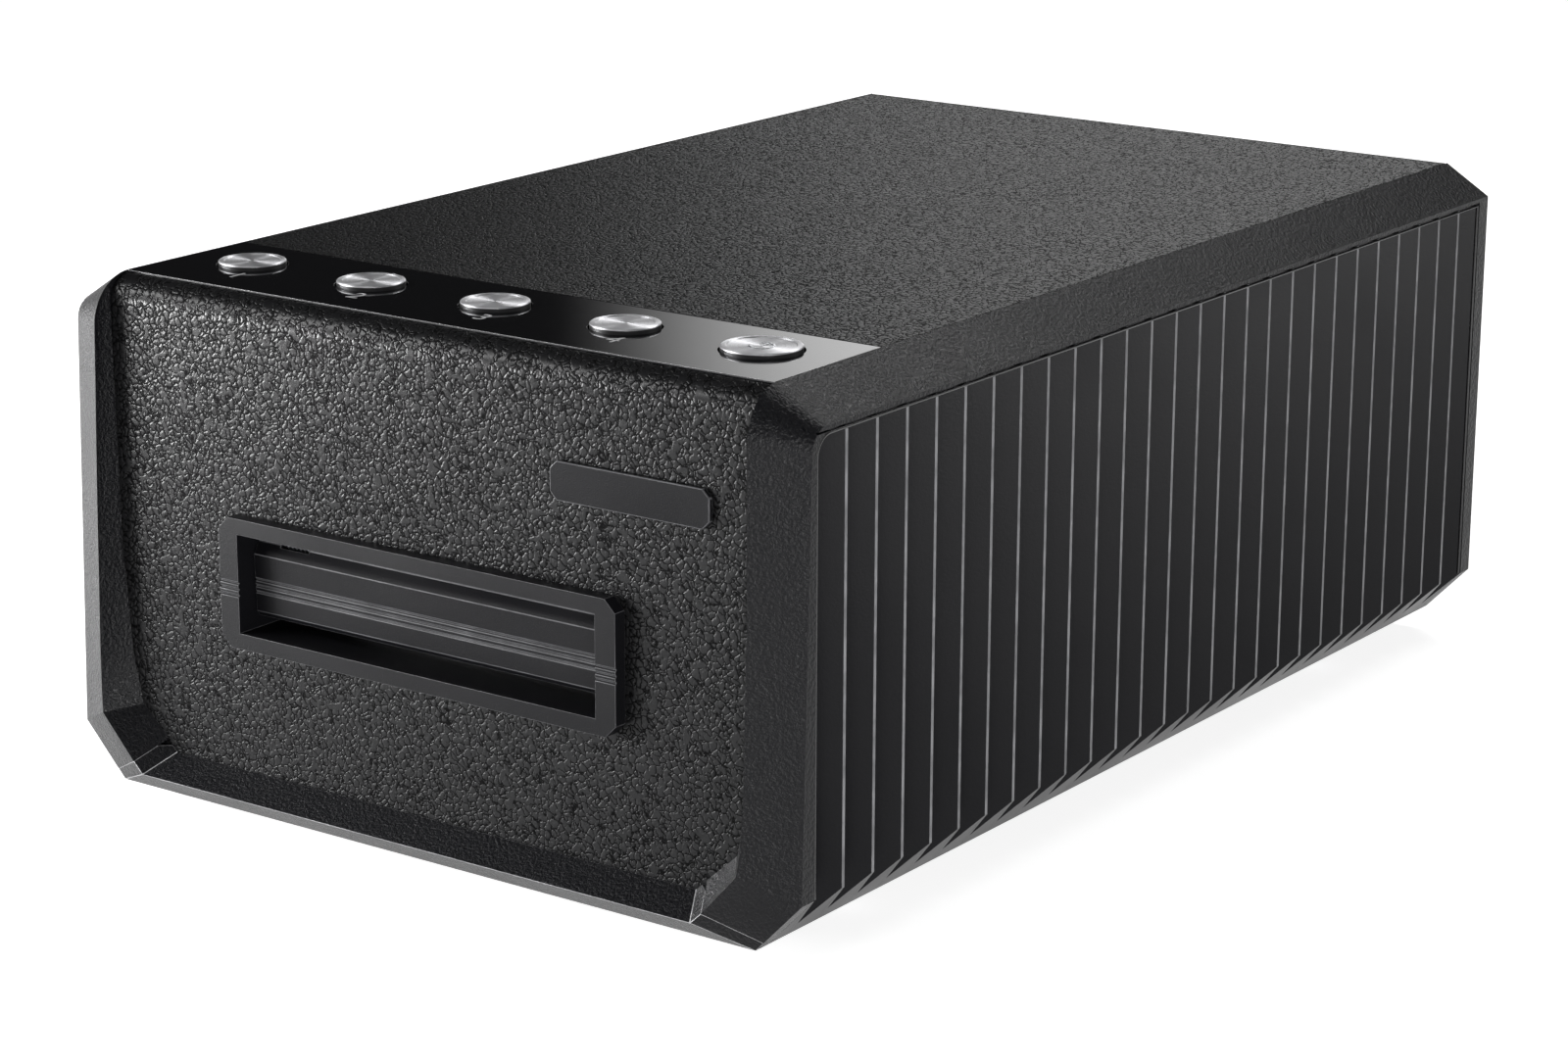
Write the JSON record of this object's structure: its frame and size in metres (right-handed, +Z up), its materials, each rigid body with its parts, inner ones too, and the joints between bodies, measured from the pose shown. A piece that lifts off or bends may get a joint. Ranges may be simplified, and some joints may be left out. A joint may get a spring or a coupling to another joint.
{
  "type": "film negative scanner",
  "caption": "Desktop film negative scanner: chamfered box with a front holder slot and dust flap, button strip, pleated sides and a motor-driven roller transport inside.",
  "frame": {"origin": "middle of the footprint, on the plane that the rubber feet stand on", "axes": "+Z up, -Y out of the front with the slot, +X to the right seen from the front"},
  "size_m": [0.17, 0.259, 0.1049],
  "materials": {
    "frame_plastic": "fine-textured satin black",
    "leather_grain": "black leather grain",
    "pleat_plastic": "satin black",
    "gloss_black": "glossy black",
    "spun_aluminium": "spun, satin",
    "steel": "bright drawn",
    "sheet_steel": "zinc-plated sheet",
    "spring_steel": "drawn wire",
    "plated_shell": "nickel plated",
    "rubber": "matt black",
    "white_acetal": "satin white",
    "brass": "turned",
    "circuit_board": "green solder mask",
    "black_plastic": "satin black",
    "opal_white": "opal",
    "white_flex": "flat ribbon",
    "optical_glass": "polished",
    "front_mirror": "front-surface mirror"
  },
  "bodies": {
    "housing": {"base_tray": "frame_plastic", "left_side_frame": "frame_plastic", "right_side_frame": "frame_plastic", "left_pleated_panel": "pleat_plastic", "right_pleated_panel": "pleat_plastic", "front_panel": "leather_grain", "top_cover": "leather_grain", "control_panel": "gloss_black", "rear_panel": "frame_plastic", "slot_bezel": "frame_plastic", "badge_plate": "frame_plastic", "flap_pins": "steel", "flap_spring": "spring_steel", "button_board": "circuit_board", "tact_switches": "black_plastic", "ribbon_cable": "white_flex", "main_board": "circuit_board", "dc_jack": "black_plastic", "usb_port": "plated_shell", "transport_plate_left": "sheet_steel", "transport_plate_right": "sheet_steel", "lower_film_guide": "black_plastic", "upper_film_guide": "black_plastic", "shaft_bushes": "brass", "stepper_motor": "sheet_steel", "gear_post": "steel", "drive_belt": "rubber", "front_pinch_springs": "spring_steel", "rear_pinch_springs": "spring_steel", "light_housing": "opal_white", "led_board": "opal_white", "diffuser": "opal_white", "optics_cradle": "black_plastic", "scan_mirror": "front_mirror", "lens_barrel": "black_plastic", "lens_glass": "optical_glass", "sensor_board": "circuit_board", "rubber_feet": "rubber", "case_screws": "steel"},
    "dust_flap": {"dust_flap": "frame_plastic"},
    "rear_flap": {"rear_flap": "frame_plastic"},
    "button_1": {"button_cap_1": "spun_aluminium"},
    "button_2": {"button_cap_2": "spun_aluminium"},
    "button_3": {"button_cap_3": "spun_aluminium"},
    "button_4": {"button_cap_4": "spun_aluminium"},
    "power_button": {"power_button_cap": "spun_aluminium"},
    "motor_rotor": {"motor_pinion": "brass"},
    "reduction_gear": {"reduction_gear": "white_acetal"},
    "front_roller": {"front_roller_shaft": "steel", "front_roller_tyres": "rubber", "front_roller_gear": "white_acetal"},
    "rear_roller": {"rear_roller_shaft": "steel", "rear_roller_tyres": "rubber", "rear_pulley": "white_acetal"},
    "front_pinch_axle": {"front_pinch_axle": "steel"},
    "front_pinch_rollers": {"front_pinch_rollers": "white_acetal"},
    "rear_pinch_axle": {"rear_pinch_axle": "steel"},
    "rear_pinch_rollers": {"rear_pinch_rollers": "white_acetal"}
  },
  "joints": [
    {"name": "dust_flap_swing", "type": "hinge", "parent": "housing", "child": "dust_flap", "pos_m": [0, -0.1184, 0.0576], "axis": [1, 0, 0], "range_deg": [0, 70], "stiffness_Nm_per_rad": 0.0002, "springref_deg": -34.38},
    {"name": "rear_flap_swing", "type": "hinge", "parent": "housing", "child": "rear_flap", "pos_m": [0, 0.1263, 0.0574], "axis": [1, 0, 0], "range_deg": [0, 75]},
    {"name": "button_1_press", "type": "slide", "parent": "housing", "child": "button_1", "axis": [0, 0, -1], "range_m": [0, 0.0008], "stiffness_N_per_m": 1200, "springref_m": -0.0004},
    {"name": "button_2_press", "type": "slide", "parent": "housing", "child": "button_2", "axis": [0, 0, -1], "range_m": [0, 0.0008], "stiffness_N_per_m": 1200, "springref_m": -0.0004},
    {"name": "button_3_press", "type": "slide", "parent": "housing", "child": "button_3", "axis": [0, 0, -1], "range_m": [0, 0.0008], "stiffness_N_per_m": 1200, "springref_m": -0.0004},
    {"name": "button_4_press", "type": "slide", "parent": "housing", "child": "button_4", "axis": [0, 0, -1], "range_m": [0, 0.0008], "stiffness_N_per_m": 1200, "springref_m": -0.0004},
    {"name": "power_button_press", "type": "slide", "parent": "housing", "child": "power_button", "axis": [0, 0, -1], "range_m": [0, 0.0008], "stiffness_N_per_m": 1200, "springref_m": -0.0004},
    {"name": "front_roller_spin", "type": "hinge", "parent": "housing", "child": "front_roller", "pos_m": [0, -0.064, 0.036], "axis": [1, 0, 0], "continuous": true},
    {"name": "rear_roller_spin", "type": "hinge", "parent": "housing", "child": "rear_roller", "pos_m": [0, 0.04, 0.036], "axis": [1, 0, 0], "continuous": true},
    {"name": "reduction_gear_spin", "type": "hinge", "parent": "housing", "child": "reduction_gear", "pos_m": [0, -0.08526, 0.03979], "axis": [1, 0, 0], "continuous": true},
    {"name": "motor_spin", "type": "hinge", "parent": "housing", "child": "motor_rotor", "pos_m": [0, -0.1, 0.024], "axis": [1, 0, 0], "continuous": true},
    {"name": "front_pinch_lift", "type": "slide", "parent": "housing", "child": "front_pinch_axle", "axis": [0, 0, 1], "range_m": [0, 0.007], "stiffness_N_per_m": 300, "springref_m": -0.004, "deforming": ["front_pinch_springs"]},
    {"name": "front_pinch_spin", "type": "hinge", "parent": "front_pinch_axle", "child": "front_pinch_rollers", "pos_m": [0, -0.064, 0.04955], "axis": [1, 0, 0], "continuous": true},
    {"name": "rear_pinch_lift", "type": "slide", "parent": "housing", "child": "rear_pinch_axle", "axis": [0, 0, 1], "range_m": [0, 0.007], "stiffness_N_per_m": 300, "springref_m": -0.004, "deforming": ["rear_pinch_springs"]},
    {"name": "rear_pinch_spin", "type": "hinge", "parent": "rear_pinch_axle", "child": "rear_pinch_rollers", "pos_m": [0, 0.04, 0.04955], "axis": [1, 0, 0], "continuous": true}
  ],
  "couplings": [
    {"joint": "rear_roller_spin", "follows": "front_roller_spin", "ratio": 1},
    {"joint": "reduction_gear_spin", "follows": "front_roller_spin", "ratio": -2.8571},
    {"joint": "motor_spin", "follows": "front_roller_spin", "ratio": 8.1633},
    {"joint": "front_pinch_spin", "follows": "front_roller_spin", "ratio": -1.4545},
    {"joint": "rear_pinch_spin", "follows": "front_roller_spin", "ratio": -1.4545}
  ]
}
